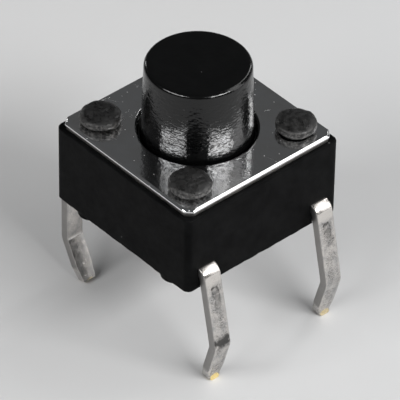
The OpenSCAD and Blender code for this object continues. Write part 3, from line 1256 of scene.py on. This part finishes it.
@dataclass
class CoverPlate:
    """Stamped sheet with a hole for the button and four for the stakes."""

    chamfer: float = 0.22
    hole_r: float = 1.8
    hole_steps: int = 160
    stake_hole_r: float = 0.45
    stake_hole_steps: int = 48
    stake_pitch: float = 4.1
    roll: float = 0.055
    hole_roll: float = 0.075
    roll_steps: int = 10
    roll_margin: float = 1.5
    flatness: float = 1.7
    land: float = 0.035
    tear: float = 0.02
    tear_shares: Flat = (0.6, 1.6)
    tear_drop: float = 0.015
    foot_rise: float = 0.03
    chip_wave: Point = (9, 9, 4)
    mean_chip: float = 0.5
    cover: Extent = extent_of("cover_plate")

    def section(self, roll: float) -> list[Point]:
        """Outline across a cut edge, from top to bottom.

        Args:
            roll: Size of the rounding that the punch leaves along the upper edge.

        Returns:
            Depth in from the cut face, height and torn share of each point.
        """
        top, low = self.cover.high.z, self.cover.low.z
        rolled = []
        for i in range(self.roll_steps + 1):
            turn = math.pi / 2 * i / self.roll_steps
            drop = roll * (1 - math.cos(turn) ** self.flatness)
            rolled.append((roll * (1 - math.sin(turn) ** self.flatness), top - drop, 0.0))
        margin, broken = self.roll_margin * roll, top - roll - self.land
        start, end = (self.tear * share for share in self.tear_shares)
        return [
            (margin, top, 0.0), *rolled, (0.0, broken, 0.0), (start, broken - self.tear_drop, 1.0),
            (self.tear, low + self.foot_rise, 1.0), (end, low, 1.0), (margin, low, 0.0),
        ]

    def cut(self, skin: Skin, roll: float, outline: Callable[[float], list[Flat]]) -> list[Ring]:
        """Rings of one cut edge.

        Args:
            skin: Mesh that the rings go into.
            roll: Size of the rounding along the upper edge.
            outline: Outline of the cut at a depth into the sheet.

        Returns:
            The rings from the upper flat to the lower one.
        """
        rings = []
        for depth, z, torn in self.section(roll):
            points = []
            for (x, y), (u, v) in zip(outline(depth), outline(depth + self.tear)):
                spot = Vector((x, y, z)) * Vector(self.chip_wave)
                chip = torn * max(0.0, self.mean_chip + noise.noise(spot))
                points.append((x + (u - x) * chip, y + (v - y) * chip))
            rings.append(skin.ring(points, z, torn))
        skin.tube(rings)
        return rings

    def build(self) -> Piece:
        """Builds the plate, in millimetres."""
        half = self.cover.high.x
        skin = Skin()
        slant = 2 - math.sqrt(2)
        cuts = [self.cut(skin, self.roll, lambda d: chamfered_ring(half - d, self.chamfer - slant * d))]
        cuts.append(self.cut(skin, self.hole_roll, lambda d: circle(self.hole_r + d, steps=self.hole_steps)))
        for sx, sy in CORNERS:
            mid = (sx * self.stake_pitch / 2, sy * self.stake_pitch / 2)
            cuts.append(self.cut(
                skin, self.roll, lambda d: circle(self.stake_hole_r + d, mid, self.stake_hole_steps)))
        skin.fill([rings[0] for rings in cuts])
        skin.fill([rings[-1] for rings in cuts])
        return skin.solid("cover_sheet")

    def dress(self, piece: Piece, material: Material) -> None:
        """Finishes the plate and sets it on the switch."""
        place(piece, material, Body.SWITCH, "cover_plate")


@dataclass
class Button:
    """Button with its drafted stem, its flange and the nub that pushes the dome."""

    root_r: float = 1.7
    top_r: float = 1.62
    edge_r: float = 0.14
    flange_low: float = 2.38
    flange_high: float = 2.93
    nub_r: float = 0.6
    small_r: float = 0.04
    fillet_steps: int = 8
    box: Extent = extent_of("button")
    cover: Extent = extent_of("cover_plate")

    def build(self) -> Piece:
        """Builds the button, in millimetres."""
        low, high, flange_r, small = self.box.low.z, self.box.high.z, self.box.high.x, self.small_r
        skin = Skin()
        skin.lathe(filleted([
            (0, low, 0), (self.nub_r - 3 * small, low, 0), (self.nub_r, low, small),
            (self.nub_r, self.flange_low, small), (flange_r, self.flange_low, small),
            (flange_r, self.flange_high, small), (self.root_r, self.flange_high, small),
            (self.root_r, self.cover.high.z, 0), (self.top_r, high, self.edge_r),
            (self.top_r - 2 * self.edge_r, high, 0), (0, high, 0),
        ], self.fillet_steps))
        return skin.solid("button_moulding")

    def dress(self, piece: Piece, material: Material) -> None:
        """Finishes the button and sets it on its own body."""
        place(piece, material, Body.BUTTON, "button")


@dataclass
class SnapDome:
    """Shallow sprung dome that flattens under the button."""

    sheet_t: float = 0.08
    rim_inset: float = 0.02
    pressed_share: float = 0.24
    steps: int = 20
    box: Extent = extent_of("snap_dome")

    def build(self) -> Piece:
        """Builds the dome, in millimetres."""
        low, rise = self.box.low.z, self.box.high.z - self.box.low.z - self.sheet_t
        reach = self.box.high.x - self.rim_inset
        ball_r = (reach ** 2 + rise ** 2) / (2 * rise)
        spread = math.degrees(math.asin(reach / ball_r))
        mid = (0, low + rise - ball_r)
        upper = arc(mid, ball_r + self.sheet_t, 90, 90 - spread, self.steps)
        lower = arc(mid, ball_r, 90 - spread, 90, self.steps)
        skin = Skin()
        skin.lathe(upper + lower)
        return skin.solid("dome_spring")

    def dress(self, piece: Piece, material: Material) -> None:
        """Finishes the dome, sets it on the switch and gives it a mesh of its own."""
        place(piece, material, Body.SWITCH, "snap_dome")
        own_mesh(piece)


@dataclass(frozen=True)
class Softbox:
    """Rectangular studio lamp, given by the part of the sky that it fills."""

    name: str
    bearing: float
    height: float
    wide: float
    tall: float
    radiance: float
    distance: float = 220

    def build(self, front: float, aim: Vector) -> None:
        """Hangs the lamp.

        Args:
            front: Bearing of the camera in degrees, from which the lamp's bearing counts to the right.
            aim: Point in millimetres that the lamp faces.
        """
        away = towards(front + self.bearing, self.height)
        lamp = bpy.data.lights.new(self.name, "AREA")
        lamp.shape = "RECTANGLE"
        lamp.size = 2 * self.distance * math.tan(math.radians(self.wide / 2)) * MM
        lamp.size_y = 2 * self.distance * math.tan(math.radians(self.tall / 2)) * MM
        lamp.energy = self.radiance * math.pi * lamp.size * lamp.size_y
        hung = linked(self.name, lamp)
        hung.location = (aim + away * self.distance) * MM
        hung.rotation_euler = away.to_track_quat("Z", "Y").to_euler()


@dataclass
class Studio:
    """Pale floor, soft lamps and the camera."""

    bearing: float = 47.85
    height: float = 39.9
    roll: float = 0.99
    distance: float = 136.2
    lens: float = 405
    aside: float = 0.118
    above: float = 0.0908
    near: float = 5
    far: float = 3000
    aim: Vector = field(default_factory=lambda: Vector((0, 0, 0.2)))
    floor_half: float = 400
    rim: Extent = extent_of("rim_terminal")
    sky_rise: Flat = (0.05, 0.4)
    sky_level: Flat = (0.04, 0.08)
    sky_colour: Colour = (0.97, 0.985, 1, 1)
    lamps: tuple[Softbox, ...] = (
        Softbox("right_softbox", 49, 39, 34, 10, 27),
        Softbox("tall_softbox", 86, 29, 28, 52, 2),
        Softbox("top_softbox", 123, 55, 36, 17, 2),
        Softbox("left_softbox", -50, 39, 40, 10, 14.5),
        Softbox("right_strip", 142, 32, 7, 30, 5),
        Softbox("left_strip", -143, 17, 5, 14, 7),
    )

    def floor(self) -> None:
        """Lays the floor under the tips of the legs."""
        mesh = bpy.data.meshes.new("floor")
        corners = [(x * self.floor_half, y * self.floor_half, self.rim.low.z) for x, y in CORNERS]
        mesh.from_pydata(corners, [], [(0, 1, 2, 3)])
        mesh.transform(Matrix.Scale(MM, 4))
        mesh.materials.append(PaleFloor("pale_floor").make())
        linked("floor", mesh)

    def sky(self) -> None:
        """Sets a dim surround that is darker near the floor."""
        world = bpy.data.worlds.new("surround")
        world.use_nodes = True
        sketch = Sketch(world.node_tree)
        sketch.tree.nodes.clear()
        rise = sketch.split(sketch.add("ShaderNodeTexCoord").outputs["Generated"])[2]
        level = sketch.spread(rise, *self.sky_rise, *self.sky_level)
        back = sketch.draw("ShaderNodeBackground", {"Strength": level, "Color": self.sky_colour})
        sketch.add("ShaderNodeOutputWorld", {"Surface": back})
        bpy.context.scene.world = world

    def camera(self) -> None:
        """Sets the camera."""
        turn, roll = math.radians(self.bearing), math.radians(self.roll)
        back = towards(self.bearing, self.height)
        level = Vector((math.cos(turn), math.sin(turn), 0))
        upright = back.cross(level)
        right = level * math.cos(roll) + upright * math.sin(roll)
        up = upright * math.cos(roll) - level * math.sin(roll)
        spot = (self.aim + back * self.distance + right * self.aside + up * self.above) * MM
        data = bpy.data.cameras.new("camera")
        data.lens = self.lens
        data.clip_start = self.near * MM
        data.clip_end = self.far * MM
        camera = linked("camera", data)
        camera.matrix_world = Matrix.Translation(spot) @ Matrix((right, up, back)).transposed().to_4x4()
        bpy.context.scene.camera = camera

    def build(self) -> None:
        """Sets the stage."""
        self.floor()
        self.sky()
        for lamp in self.lamps:
            lamp.build(self.bearing, self.aim)
        self.camera()
        bpy.context.scene.view_settings.view_transform = "Standard"


def main() -> None:
    """Builds and dresses the switch and sets the stage."""
    logging.basicConfig(level=logging.INFO, format="%(message)s")
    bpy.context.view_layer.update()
    Studio().build()

    moulding = BaseMoulding()
    terminals = Terminals()
    plating = PlatedBrass("silver_plating", terminals.strip_y, terminals.leg_w / 2, -terminals.knee_drop,
                          terminals.tip_z).make()
    strips = terminals.build(plating)
    base = moulding.build(terminals, strips)
    satin = MouldedPlastic("satin_black").make()
    staked = StakedPlastic("staked_black", moulding.base.high.z).make()
    moulding.dress(base, satin, staked)
    terminals.dress(strips, plating)

    cover = CoverPlate()
    cover.dress(cover.build(), SheetSteel("bright_sheet").make())
    button = Button()
    button.dress(button.build(), ButtonPlastic("gloss_black", button.box.high.z).make())
    dome = SnapDome()
    dome.dress(dome.build(), SpringSteel("spring_sheet").make())


if __name__ == "__main__":
    main()
